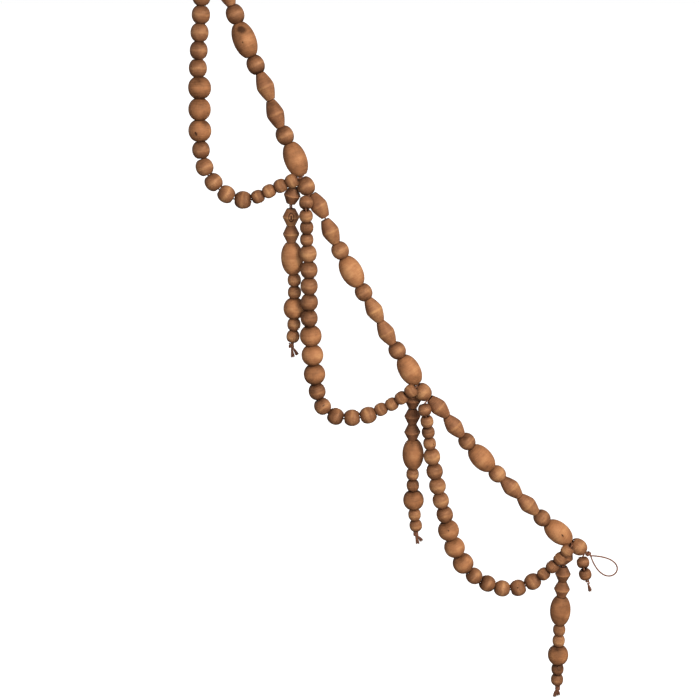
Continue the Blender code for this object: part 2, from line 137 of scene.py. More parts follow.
def ramp(tree, value, *stops):
    """The value as a colour, blended between stops of a place and a hex colour."""
    node = add(tree, "ValToRGB", {"Fac": value})
    elements = node.color_ramp.elements
    elements[0].position, elements[1].position = stops[0][0], stops[-1][0]
    for place, _ in stops[1:-1]:
        elements.new(place)
    for element, (_, colour) in zip(elements, stops):
        element.color = linear(colour)
    return node.outputs["Color"]


def surface(tree, inputs):
    """A principled shader with those inputs, as the material's surface."""
    shader = add(tree, "BsdfPrincipled", inputs)
    add(tree, "OutputMaterial", {"Surface": shader.outputs["BSDF"]})


def new_material(name):
    """An empty node material, with its tree."""
    material = bpy.data.materials.new(name)
    material.use_nodes = True
    material.node_tree.nodes.clear()
    return material, material.node_tree

# %% [markdown]
# ## Studio
#
# The photograph is a catalogue picture on pure white, lit softly from in front and a little
# from the upper right, so every bead has a thin dark edge all round. The surroundings light
# the beads only a little, mostly from a band at the horizon, and the camera sees them as
# pure white. A wide fill light stands behind the camera, a smaller key light to its right
# and above, and a third one straight opposite, where it lights the beads' backs. The floor
# is a white sheet far below. Its bounce is kept off the beads, as a black card under a
# product does, or their undersides would glow.

# %% Surroundings
# Brightness from above, from the horizon and from below, and the heights between which each
# passes into the next.
SKY, HORIZON, GROUND = 0.35, 0.60, 0.07
TO_SKY, TO_GROUND = (0.05, 0.35), (-0.30, -0.01)

world = bpy.data.worlds.new("studio")
world.use_nodes = True
world.node_tree.nodes.clear()
tree = world.node_tree
ray = add(tree, "TexCoord")
height = add(tree, "SeparateXYZ", {"Vector": ray.outputs["Generated"]}).outputs["Z"]
strength = remap(tree, height, *TO_GROUND, GROUND, remap(tree, height, *TO_SKY, HORIZON, SKY))
seen = add(tree, "LightPath").outputs["Is Camera Ray"]
sky = add(tree, "Background", {
    "Color": linear("#FFFFFF"), "Strength": remap(tree, seen, 0.0, 1.0, strength, 1.0)})
add(tree, "OutputWorld", {"Surface": sky.outputs["Background"]})
bpy.context.scene.world = world
bpy.context.scene.view_settings.view_transform = "Standard"

# %% Lights and floor
LIGHT_AIM = Vector((260, 0, -580))
# Each softbox: its place, its side in metres, its power in watts, and its colour.
SOFTBOXES = {
    "key_softbox": ((1060, -1150, 420), 0.7, 34, "#FFF9F0"),
    "fill_softbox": ((300, -1500, -380), 1.4, 15, "#F1F7FF"),
    "back_softbox": ((136, 2900, -1196), 0.9, 55, "#FFFFFF"),
}
FLOOR_Z = -2300
# Half the floor's side in metres, so far that its edge lies at the horizon.
FLOOR_HALF = 2000

for name, (place, side, power, colour) in SOFTBOXES.items():
    lamp = bpy.data.lights.new(name, "AREA")
    lamp.shape = "SQUARE"
    lamp.size = side
    lamp.energy = power
    lamp.color = linear(colour)[:3]
    softbox = new_object(name, lamp)
    softbox.location = Vector(place) * MM
    softbox.rotation_euler = (LIGHT_AIM - Vector(place)).to_track_quat("-Z", "Y").to_euler()
    softbox.visible_camera = False

floor_material, tree = new_material("white_paper")
surface(tree, {
    "Base Color": linear("#F4F3F1"), "Roughness": 0.9,
    "Emission Color": linear("#FFFFFF"), "Emission Strength": 0.95})
floor_mesh = bpy.data.meshes.new("floor")
corners = [(x * FLOOR_HALF, y * FLOOR_HALF, FLOOR_Z * MM) for x, y in ((-1, -1), (1, -1), (1, 1), (-1, 1))]
floor_mesh.from_pydata(corners, [], [(0, 1, 2, 3)])
floor_mesh.materials.append(floor_material)
floor = new_object("floor", floor_mesh)
floor.visible_diffuse = floor.visible_glossy = False
print("softboxes", len(SOFTBOXES), "and a floor", -FLOOR_Z, "mm below the hook")

# %% [markdown]
# ## Where the beads lie
#
# The cords decide where everything hangs, so their routes come first. They are the same
# points, in millimetres, that the solids were built on: the main strand from loop to loop,
# each swag from the mouth of its first bead to the foot of its last, and each drop. A
# smooth curve runs through each list, and the beads are threaded on it one after another.

# %% Sizes of the beads
# Width across the belly, length along the bore, flat at each end, and the fullness of the
# outline: 2 is an ellipse, more is squarer, and None marks two cones that meet in a ridge.
Bead = namedtuple("Bead", "width length flat fullness bulge wood")
BEADS = {
    "small":        Bead(12.6, 11.3, 6.8, 2.3, 0, "round_bead"),
    "medium":       Bead(16.2, 15.2, 8, 2.1, 0, "round_bead"),
    "large":        Bead(20.5, 18.8, 9.2, 2.1, 0, "oval_bead"),
    "oval":         Bead(20.8, 29.5, 9.4, 2.05, 0, "oval_bead"),
    "long_bicone":  Bead(16.2, 24.4, 7.8, None, 0.5, "bicone_bead"),
    "short_bicone": Bead(16, 15.6, 8.2, None, 0, "bicone_bead"),
}
# Bore and cord, the room between two cords, and the gaps above and below a junction bead.
BORE = 4.2
CORD = 1.2
CLEAR = 0.32
PAIR = (CORD + CLEAR) / 2
GAP_ABOVE = 2 * CORD + 4 * CLEAR
GAP_BELOW = CORD + 2.2 * CLEAR
JOINT = 0.5
BEARING = 0.35
STRING_PASSES = 4

# Kinds of bead from head to foot: a section of the main strand, a swag's runs with how many
# beads each has, and a drop.
HALF_SECTION = ("long_bicone", "long_bicone", "medium", "oval")
SECTION = (*HALF_SECTION, "medium", *HALF_SECTION)
SECTION_SLACK = (0, 1.3, 0)
SWAG_RUNS = {"small_a": 4, "medium_a": 5, "large": 3, "medium_b": 5, "small_b": 4}
DROP_TOP = "short_bicone"
DROP_STRING = ("short_bicone", "short_bicone", "oval", "small", "small", "large", "small", "small")

# %% Routes of the cords
# Main strand: x and z of its points, and those of them that are middles of junction beads.
MAIN_ROUTE = (
    (3.9, -27.5), (10.5, -46.5), (18, -68), (26.5, -92), (34, -111.4), (42.1, -134), (60.4, -175.8),
    (69.1, -200.4), (86.5, -240.5), (95, -264.5), (107, -281.7), (117.9, -306.2), (138.1, -345.4),
    (159.2, -381.8), (171.5, -405), (192.8, -440), (205.3, -462.3), (220.1, -475.7), (236, -495.6),
    (263.2, -528), (293.5, -559.1), (310.3, -576.7), (340.7, -605.6), (362.2, -621.8),
    (370.2, -627.8),
)
JUNCTION_POINTS = (1, 9, 16, 23)
SWAG_ROUTES = (
    ((0.6, -11.8, -42.5), (2, -11.4, -50), (3.8, -9.5, -60), (5, -6.8, -72), (5.3, -5, -83),
     (4.9, -4.2, -96), (4, -4, -111), (2.3, -4, -127), (1.1, -4, -142.2), (-0.1, -4, -157.8),
     (0.9, -4, -175), (0.3, -4, -194.2), (0, -4, -213.4), (0.5, -4, -230.6), (3.3, -4, -246.2),
     (11, -4, -259.7), (22.5, -4, -271), (38, -4, -276.3), (52.3, -4.5, -272.9), (61.8, -5, -268.1),
     (72.2, -5.6, -263.2), (83, -6.5, -258.4), (88.1, -7, -256.1)),
    ((95.8, -6.5, -273.6), (95.7, -9.6, -278), (95.7, -11.4, -282.8), (95.7, -10.1, -289.4),
     (96.1, -7.1, -300.8), (96, -5.5, -313), (97.1, -4.5, -326), (97.8, -4.5, -341.5),
     (97.8, -4.5, -357.4), (97.9, -4.5, -373), (97.6, -4.5, -388.2), (99, -4.5, -405.6),
     (100.5, -4.5, -424.7), (102.4, -4.5, -443.6), (105, -4.5, -461.2), (110.6, -4.5, -475.8),
     (123.7, -4.5, -485.3), (139.7, -4.5, -486), (155, -4.5, -483), (166.6, -4.5, -477.2),
     (176.6, -5, -472), (185.4, -7.4, -465), (193.9, -9, -457.9), (198.2, -8.4, -454.3)),
    ((206.5, -5.1, -472.5), (207.4, -6.7, -477.4), (208.5, -7.2, -482.4), (209.7, -6.1, -488.7),
     (211.3, -4.3, -500.5), (212.8, -4, -511.9), (215.2, -4, -525), (218.1, -4, -540.5),
     (221, -4, -555), (224.6, -4, -570.6), (228.9, -4, -585.9), (233, -4, -603),
     (239.1, -4, -620.4), (248.1, -4, -637.7), (258.9, -4, -650.8), (271.6, -4, -658.8),
     (285.6, -4, -664.3), (300.2, -4, -664.8), (314.4, -4, -659.2), (325.4, -4.6, -651),
     (334.8, -6, -641.8), (342.5, -7.6, -631.8), (349.4, -9.7, -621.6), (352.6, -10.7, -617)),
)
START_ROUTE = ((5.7, -5.3, -39.1), (2.4, -9.6, -38.6), (0.7, -11.5, -40.6))
TAIL_ROUTE = ((366.2, -3.7, -630.8), (366.2, -6.7, -635.5), (366.8, -9, -640.4),
              (368.2, -9.2, -646.2), (370.4, -8.6, -652))

# Drops: mouth and foot of the leaning top bead, the string below it, and the tips of the
# two cord ends. Each hangs at the next junction.
Drop = namedtuple("Drop", "top_mouth top_foot string tips")
DROPS = (
    Drop((84.1, 4, -265.4), (81.1, 5.2, -281.1),
         ((81.3, 5.5, -285.7), (81.1, 6.5, -310), (81.8, 6.5, -334.4), (83.6, 6.5, -355),
          (83.1, 6.5, -381.5), (82.4, 6.5, -402), (80.9, 6.5, -413.9)),
         ((81.4, 5, -428.6), (85.8, 7.5, -426.6))),
    Drop((197, 7.8, -464.3), (196.5, 8, -480.2),
         ((196.5, 8, -480.9), (196.6, 8, -503.6), (197.6, 8, -528), (197.4, 8, -547.9),
          (198.6, 8, -574.6), (200.2, 8, -594), (202, 8, -607.9)),
         ((203.6, 7, -621.6), (207.6, 9.2, -619.6))),
    Drop((353.8, 5.6, -627.2), (348.2, 6.4, -641.9),
         ((349.2, 6.5, -645.6), (348.9, 6.5, -670), (348.2, 6.5, -695), (348, 6.5, -728.4),
          (348.2, 6.5, -777)),
         ((346, 5.3, -790.4), (350.8, 7.8, -790))),
)

# %% Smooth curves, and beads threaded on them
ROUTE_STEPS = 24
Placed = namedtuple("Placed", "kind head foot")


def vec(point):
    """A point of a table, or a list of them, as an array."""
    return np.array(point, float)


BACK = vec((0, 1, 0))


def unit(way):
    """The direction with length one."""
    return way / np.linalg.norm(way)


def direction(beads):
    """Way the strand runs through a row of beads."""
    return unit(beads[-1].foot - beads[0].head)


def smooth_route(points):
    """Centripetal Catmull-Rom curve, with ROUTE_STEPS steps from each point to the next.

    The knots of two points lie the root of their distance apart, and the curve blends the
    straight lines through them.
    """
    pts = vec(points)
    pts = np.vstack([2 * pts[0] - pts[1], pts, 2 * pts[-1] - pts[-2]])
    curve = [pts[1]]
    for a, b, c, d in zip(pts, pts[1:], pts[2:], pts[3:]):
        ta = 0
        tb = ta + math.sqrt(np.linalg.norm(b - a))
        tc = tb + math.sqrt(np.linalg.norm(c - b))
        td = tc + math.sqrt(np.linalg.norm(d - c))
        t = np.linspace(tb, tc, ROUTE_STEPS + 1)[1:, None]
        ab = ((tb - t) * a + (t - ta) * b) / (tb - ta)
        bc = ((tc - t) * b + (t - tb) * c) / (tc - tb)
        cd = ((td - t) * c + (t - tc) * d) / (td - tc)
        abc = ((tc - t) * ab + (t - ta) * bc) / (tc - ta)
        bcd = ((td - t) * bc + (t - tb) * cd) / (td - tb)
        curve.extend(((tc - t) * abc + (t - tb) * bcd) / (tc - tb))
    return np.array(curve)


def measure(curve):
    """Length along the curve at each of its points."""
    return np.concatenate([[0], np.cumsum(np.linalg.norm(np.diff(curve, axis=0), axis=1))])


def point_at(curve, lengths, s):
    """The point of the curve at length s along it."""
    return np.array([np.interp(s, lengths, axis) for axis in curve.T])


def string_beads(curve, kinds, start=0.0, end=None, slack=0.0):
    """Beads strung between two lengths along the curve, stretched by one share to fill them.

    Two beads stand JOINT apart, plus tan(bend / 2) times BEARING of their flats where the
    strand bends, and the slack widens the first joint. Each bead is centred on the curve,
    along the chord between its two mouths.
    """
    lengths = measure(curve)
    end = lengths[-1] if end is None else end
    flats, sizes = np.array([(BEADS[kind].flat, BEADS[kind].length) for kind in kinds]).T
    gaps = np.full(len(kinds) - 1, JOINT)
    for _ in range(STRING_PASSES):
        fitted = sizes * (end - start - gaps.sum()) / sizes.sum()
        heads = start + np.concatenate([[0], np.cumsum(fitted[:-1] + gaps)])
        chords = [unit(point_at(curve, lengths, s + length) - point_at(curve, lengths, s))
                  for s, length in zip(heads, fitted)]
        bends = [math.acos(min(1, np.dot(a, b))) for a, b in zip(chords, chords[1:])]
        gaps = JOINT + np.tan(np.array(bends) / 2) * BEARING * (flats[:-1] + flats[1:]) / 2
        gaps[0] += slack
    placed = []
    for kind, s, length, chord in zip(kinds, heads, fitted, chords):
        centre = point_at(curve, lengths, s + length / 2)
        placed.append(Placed(kind, centre - chord * length / 2, centre + chord * length / 2))
    return placed


# %% String the garland
curve = smooth_route([(x, 0, z) for x, z in MAIN_ROUTE])
lengths = measure(curve)
places = [lengths[k * ROUTE_STEPS] for k in JUNCTION_POINTS]
half = BEADS["medium"].length / 2
junctions = [Placed("medium", point_at(curve, lengths, s - half), point_at(curve, lengths, s + half))
             for s in places]
sections = [string_beads(curve, SECTION, above + half + GAP_BELOW, below - half - GAP_ABOVE, slack)
            for above, below, slack in zip(places, places[1:], SECTION_SLACK)]

# Each wood piece: the node it stands for, and the beads in it.
pieces = {}
for n, junction in enumerate(junctions):
    pieces[f"main_{10 * n + 1:02d}_medium"] = [junction]
for n, section in enumerate(sections):
    for k, placed in enumerate(section):
        pieces[f"main_{10 * n + k + 2:02d}_{placed.kind}"] = [placed]

kinds = [label.split("_")[0] for label, count in SWAG_RUNS.items() for _ in range(count)]
swags = [string_beads(smooth_route(route), kinds) for route in SWAG_ROUTES]
for n, swag in enumerate(swags):
    beads = iter(swag)
    for label, count in SWAG_RUNS.items():
        pieces[f"swag_{n + 1}_{label}"] = [next(beads) for _ in range(count)]
pieces["swag_4_start"] = tail = string_beads(smooth_route(TAIL_ROUTE), ("small", "small"))

drops = []
for n, drop in enumerate(DROPS):
    top = Placed(DROP_TOP, vec(drop.top_mouth), vec(drop.top_foot))
    beads = string_beads(smooth_route(drop.string), DROP_STRING)
    drops.append((top, beads))
    pieces[f"drop_{n + 1}_top"], pieces[f"drop_{n + 1}_string"] = [top], beads
# Rows of beads that bear on each other.
strands = sections + swags + [tail] + [beads for _, beads in drops]
print("beads", sum(len(beads) for beads in pieces.values()), "in", len(pieces), "wood pieces")

# %% [markdown]
# ## The shape of a turned bead
#
# A bead is turned on a lathe and drilled. Its half outline runs from the belly over the
# soft rim to the flat end face, over the eased lip of the bore, and down the bore to the
# middle. Mirrored, it makes a closed outline, and carried round the axis it makes a closed
# surface with a real hole through it. As a grid of outline by angle it has even faces, and
# a map whose first direction runs round the bead, as the satin finish needs.

# %% Outline of a bead
ROUND = 48
BELLY_STEPS = 12
CORNER_STEPS = 3
CORNER_MARGIN = 1.1
ROUND_RIM, RIDGED_RIM = 0.45, 0.3
LIP = 0.4
RIDGE = {"long_bicone": 1.4, "short_bicone": 0.6}


def corner(before, at, after, size, steps=CORNER_STEPS, share=math.inf):
    """A soft corner: a quadratic Bezier of that size on both legs, at most over a share of each."""
    start, stop = (at + unit(leg) * min(size, share * np.linalg.norm(leg))
                   for leg in (before - at, after - at))
    t = np.linspace(0, 1, steps + 1)[:, None]
    return (1 - t) ** 2 * start + 2 * t * (1 - t) * at + t ** 2 * stop


def half_outline(kind):
    """Rows of (radius, height) from the belly up to the middle of the bore.

    A round belly is a superellipse: radius = cos(a) ** (2 / n) and height = sin(a) ** (2 / n),
    scaled to the bead's width and cut where its flat begins. A ridged one is a cone from the
    ridge to the flat, bulged by 4 * bulge * s * (1 - s) along its slope, with its ridge and
    its mirror image made into one soft corner.
    """
    bead = BEADS[kind]
    wide, high, flat, bore = bead.width / 2, bead.length / 2, bead.flat / 2, BORE / 2
    if bead.fullness:
        power = 2 / bead.fullness
        angle = np.linspace(0, math.acos((flat / wide) ** (1 / power)), BELLY_STEPS + 1)
        height = np.sin(angle) ** power
        belly = np.column_stack([wide * np.cos(angle) ** power, high * height / height[-1]])
        rim = ROUND_RIM
    else:
        s = np.linspace(0, 1, BELLY_STEPS + 1)
        belly = np.column_stack([wide + (flat - wide) * s + 4 * bead.bulge * s * (1 - s), high * s])
        top = corner(belly[1] * (1, -1), belly[0], belly[1], RIDGE[kind])
        belly = np.vstack([top[top[:, 1] > 0], belly[belly[:, 1] > RIDGE[kind] * CORNER_MARGIN]])
        rim = RIDGED_RIM
    face, lip, middle = vec(((flat, high), (bore, high), (bore, 0)))
    belly = belly[np.linalg.norm(belly - face, axis=1) > rim * CORNER_MARGIN]
    return np.vstack([belly, corner(belly[-1], face, lip, rim), corner(face, lip, middle, LIP), middle])


def full_outline(kind):
    """The half outline and its mirror image, as one closed loop from the belly and back to it."""
    upper = half_outline(kind)
    lower = upper[::-1] * (1, -1)
    belly_on_axis = abs(upper[0, 1]) < 1e-9
    return np.vstack([upper, lower[1:-1] if belly_on_axis else lower[1:]])


print("outline points", {kind: len(full_outline(kind)) for kind in BEADS})

# %% [markdown]
# ## How neighbouring beads meet
#
# The solids keep a small gap at each joint. Real beads on a tight cord touch, so each drawn
# bead is lengthened at both ends until the soft rims of the end faces meet. The ends then
# pass into each other by some 0.2 mm, out of sight. The cords that turn off beside a
# junction bead leave a wider gap, so the beads there reach further, and a joint so slack
# that it shows its cord stays as it is.

# %% Reach of each bead's ends into its joints
MOST_REACH = 0.32
RIDGED_REACH = 0.15
SLACK_JOINT = 2
JUNCTION_REACH = 0.9
BESIDE_REACH = 0.45
RIM_EASE = 0.2
LAST_GAP = 0.04


def joint_reach(above, below):
    """Half of what is left between the inner rims: gap - tan(bend / 2) * flat, plus their ease."""
    bend = math.acos(min(1, np.dot(direction([above]), direction([below]))))
    flat = (BEADS[above.kind].flat + BEADS[below.kind].flat) / 2
    inner = np.linalg.norm(below.head - above.foot) - math.tan(bend / 2) * flat
    if inner > SLACK_JOINT:
        return 0.0
    most = RIDGED_REACH if above.kind == below.kind == "long_bicone" else MOST_REACH
    return float(np.clip((inner + RIM_EASE - LAST_GAP) / 2, 0.0, most))


# By the point at a bead's end, how far the drawn bead reaches past it.
reach = {}
for strand in strands:
    for above, below in zip(strand, strand[1:]):
        reach[tuple(above.foot)] = reach[tuple(below.head)] = joint_reach(above, below)
for junction in junctions:
    reach[tuple(junction.head)], reach[tuple(junction.foot)] = JUNCTION_REACH, BESIDE_REACH
for beads in sections:
    reach[tuple(beads[0].head)] = reach[tuple(beads[-1].foot)] = BESIDE_REACH
for beads in swags[1:]:
    reach[tuple(beads[0].head)] = BESIDE_REACH
print("ends of beads", len(reach), "mean reach", round(sum(reach.values()) / len(reach), 3), "mm")

# %% [markdown]
# ## From an outline to a mesh
#
# A piece holds one bead or a whole run, all in one mesh. Each bead also carries what its
# wood needs: its own place in a block of wood, so that the grain runs along the bore and no
# two beads repeat, how light it is drawn, which is its stain and on some beads painted light,
# where a bicone's ridge carries a painted highlight, where end grain drank more stain, and
# how far from its waist a point lies, for the painted satin band and the painted lean of light.

# %% Tones of single beads
# How much lighter or darker than its neighbours a bead is drawn, for the first beads of a
# piece. Mostly it is how the stain of a bead came out in the photograph, but it is partly
# painted light: the beads of drop_1_string are lightened against the shade that the swag in
# front casts on them.
TONES = {
    "main_03_long_bicone": (-0.6,), "main_04_medium": (-0.5,), "main_05_oval": (-0.1,),
    "main_06_medium": (-0.8,), "main_11_medium": (0.3,), "main_15_oval": (0.5,),
    "main_20_oval": (-0.6,), "main_21_medium": (-0.4,), "main_24_medium": (0.4,),
    "main_25_oval": (0.4,), "main_26_medium": (0.5,), "main_27_long_bicone": (0.4,),
    "main_28_long_bicone": (0.4,), "main_29_medium": (0.5,), "main_30_oval": (0.4,),
    "main_31_medium": (0.4,), "swag_1_large": (-0.6, -0.8), "swag_2_large": (-0.3,),
    "drop_1_top": (-0.2,), "drop_1_string": (1.0, 0.5, 0.9, 0.5, 0.6, 0.8, 0.5, 0.4),
    "drop_2_top": (-0.5,), "drop_2_string": (-0.4, -0.3),
    "drop_3_string": (-0.3, 0, 0, 0, 0, 0, -0.7, -0.7),
}

# %% Parts of a mesh
# A part has points in millimetres, tables of faces, one for each corner count, and layers:
# by name, a vector or a single value for every point.
Part = namedtuple("Part", "points faces layers")


def around(radius, height, sides):
    """Rows of points (r * cos(a), r * sin(a), h), with a running once round in that many sides."""
    turn = np.arange(sides) * math.tau / sides
    return np.stack([np.outer(radius, np.cos(turn)), np.outer(radius, np.sin(turn)),
                     np.outer(height, np.ones(sides))], axis=2)


def grid_faces(rows, columns, closed=True):
    """Faces of a grid that closes round its columns, and over its rows too if closed is true.

    The corners of a face are (i, j), (i, j + 1), (i + 1, j + 1) and (i + 1, j).
    """
    i, j = np.indices((rows if closed else rows - 1, columns))
    here, below, beyond = i * columns, (i + 1) % rows * columns, (j + 1) % columns
    return np.stack([here + j, here + beyond, below + beyond, below + j], axis=2).reshape(-1, 4)


def mesh_from(name, parts):
    """One smooth-shaded mesh of all the parts, whose faces count on from part to part."""
    mesh = bpy.data.meshes.new(name)
    points = np.concatenate([part.points for part in parts])
    firsts = np.cumsum([0] + [len(part.points) for part in parts])
    tables = [table + first for part, first in zip(parts, firsts) for table in part.faces]
    mesh.vertices.add(len(points))
    mesh.vertices.foreach_set("co", (points * MM).astype(np.float32).ravel())
    corners = np.concatenate([table.ravel() for table in tables])
    sizes = np.concatenate([np.full(len(table), table.shape[1]) for table in tables])
    mesh.loops.add(len(corners))
    mesh.loops.foreach_set("vertex_index", corners.astype(np.int32))
    mesh.polygons.add(len(sizes))
    mesh.polygons.foreach_set("loop_start", (np.cumsum(sizes) - sizes).astype(np.int32))
    mesh.update(calc_edges=True)
    mesh.validate()
    mesh.shade_smooth()
    for key in parts[0].layers:
        values = np.concatenate([part.layers[key] for part in parts])
        single = values.ndim == 1
        layer = mesh.attributes.new(key, "FLOAT" if single else "FLOAT_VECTOR", "POINT")
        layer.data.foreach_set("value" if single else "vector", values.astype(np.float32).ravel())
    return mesh


def place_piece(mesh, node):
    """A piece of the object: it rides on the body, and stands for the node."""
    piece = new_object(mesh.name, mesh)
    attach(piece, "root")
    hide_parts(node)

# %% One bead
WIDTH_SPREAD = (0.99, 1.015)
TONE_SPREAD, TONE_LIMIT = 0.4, 0.7
# How far the painted highlight along a bicone's ridge reaches from the ridge, in millimetres.
RIDGE_HIGHLIGHT_REACH = 0.7
BORE_STAIN = 1.6
BLOCK = 400

rng = np.random.default_rng(28)
wood_place = {}


def bead_part(piece, index, placed):
    """The part of one bead, and the map of its faces.

    A point is centre + radius * (cos(a) * side + sin(a) * back) + height * up, with radius and
    height from the outline and a running once round the axis.
    """
    outline = full_outline(placed.kind) * (rng.uniform(*WIDTH_SPREAD), 1.0)
    outline[:, 0] = np.maximum(outline[:, 0], BORE / 2)
    radius, height = outline.T
    waist = height / (BEADS[placed.kind].length / 2)
    half = np.linalg.norm(placed.head - placed.foot) / 2
    above, below = (half + reach.get(tuple(end), 0) for end in (placed.head, placed.foot))
    height = waist * np.where(waist > 0, above, below)
    up = unit(placed.head - placed.foot)
    side = unit(np.cross(BACK, up))
    local = around(radius, height, ROUND)
    points = (placed.head + placed.foot) / 2 + local @ np.array([side, np.cross(up, side), up])

    wood_place[piece, index] = shift = rng.uniform(-BLOCK, BLOCK, 3)
    step = np.roll(outline, -1, axis=0) - np.roll(outline, 1, axis=0)
    end_grain = (step[:, 0] / np.linalg.norm(step, axis=1)) ** 2
    end_grain[radius < BORE / 2 + LIP / 2] = BORE_STAIN
    # A painted highlight: a lighter band along a bicone's ridge.
    ridge_highlight = np.exp(-(height / RIDGE_HIGHLIGHT_REACH) ** 2) * (radius > BORE) * (placed.kind in RIDGE)
    # A random stain tone, plus the listed tone, which on some beads is painted light.
    tone = np.clip(rng.normal(0, TONE_SPREAD), -TONE_LIMIT, TONE_LIMIT) + sum(
        TONES.get(piece, ())[index:index + 1])
    # The finish holds the tone, partly painted light, the painted ridge highlight, and the end grain's
    # darker stain.
    finish = np.column_stack([np.full(len(radius), tone), ridge_highlight, end_grain])

    rows = len(radius)
    run = measure(np.vstack([outline, outline[:1]]))
    i, j = np.indices((rows, ROUND))
    u = np.stack([j, j + 1, j + 1, j], axis=2) / ROUND
    v = run[np.stack([i, i, i + 1, i + 1], axis=2)] / run[-1]
    layers = {"grain": (local + shift).reshape(-1, 3), "finish": np.repeat(finish, ROUND, axis=0),
              "waist": np.repeat(waist, ROUND)}
    return Part(points.reshape(-1, 3), [grid_faces(rows, ROUND)], layers), np.stack([u, v], axis=3)

# %% [markdown]
# ## Stained wood
#
# The beads are a pale close-grained hardwood, such as maple or birch, turned, sanded and
# stained walnut brown with a satin finish. Fine fibres run along the bore and shine as silk
# does, so each round bead has a bright, slightly wavy band across its waist. The stain is
# cloudy, darker on end grain and in the pores, and differs from bead to bead. The shader's
# anisotropy, taken round the bead, spreads the gloss along the band. The band's sheen is also
# painted in as a lighter stain near the waist, a painted highlight. A bicone's ridge carries a
# thin painted highlight, and its lower cone is painted lighter than its upper one, as painted
# light. The fibres, finer than a picture element, are drawn coarser.

# %% Marks in single beads
# Small knots, pin holes and slits of real wood. Each mark: its piece and bead, the angle
# round the bore from the right side towards the back in degrees, its height above the
# waist, its reach round and along the bead, its lean in degrees, its strength, and how
# many growth rings it shows.
Mark = namedtuple("Mark", "piece index around height wide long lean strength rings")
MARKS = [Mark(*row) for row in (
    ("main_05_oval", 0, 281, 9, 5.2, 4.2, -42, 0.30, 0),
    ("main_05_oval", 0, 261, -1.3, 1, 1.1, 0, 0.28, 0),
    ("swag_1_large", 2, 256, -1.8, 1.1, 2.3, 20, 0.9, 0),
    ("drop_1_string", 0, 274, 1.1, 3.8, 7.4, 0, 0.9, 2),
    ("drop_1_string", 0, 273, -0.6, 1.2, 1.3, 0, 0.6, 0),
    ("swag_2_medium_b", 1, 290, 2, 1.6, 0.7, 15, 0.8, 0),
    ("swag_3_small_a", 3, 307, 0.1, 0.8, 1, 0, 0.6, 0),
    ("main_30_oval", 0, 283, -1.4, 0.9, 1.9, -10, 1, 0),
    ("swag_3_medium_b", 3, 297, 0.3, 0.9, 1.1, 0, 0.5, 0),
    ("swag_3_large", 0, 271, 3.7, 1, 1.1, 0, 0.45, 0),
    ("swag_1_small_b", 0, 319, 0.7, 0.9, 0.9, 0, 0.5, 0),
)]


def marks_for(wood):
    """The marks on beads of one wood, each with its centre in that bead's own block of wood."""
    found = []
    for mark in MARKS:
        placed = pieces[mark.piece][mark.index]
        if BEADS[placed.kind].wood != wood:
            continue
        outline = half_outline(placed.kind)[:BELLY_STEPS]
        radius = np.interp(abs(mark.height), outline[:, 1], outline[:, 0])
        angle = math.radians(mark.around)
        own = np.array([radius * math.cos(angle), radius * math.sin(angle), mark.height])
        found.append((mark, own + wood_place[mark.piece, mark.index]))
    return found


# %% Wood material
# Sizes of what the wood shows, across, across and along the bore.
FIBRE = (0.55, 0.55, 9)
TURNING = (8, 8, 0.9)
CLOUD = (9, 9, 9)
PORE = (0.4, 0.4, 2.6)
PORE_OPENS = (0.62, 0.74)
WAVE = (6, 6, 6)
MARK_DEPTH = 4.5
# The satin band, a painted sheen: how far from the waist its middle lies, and how far it reaches from there.
BAND_MIDDLE, BAND_REACH = 0.35, 0.3
ROUGHNESS_SPREAD = 0.07


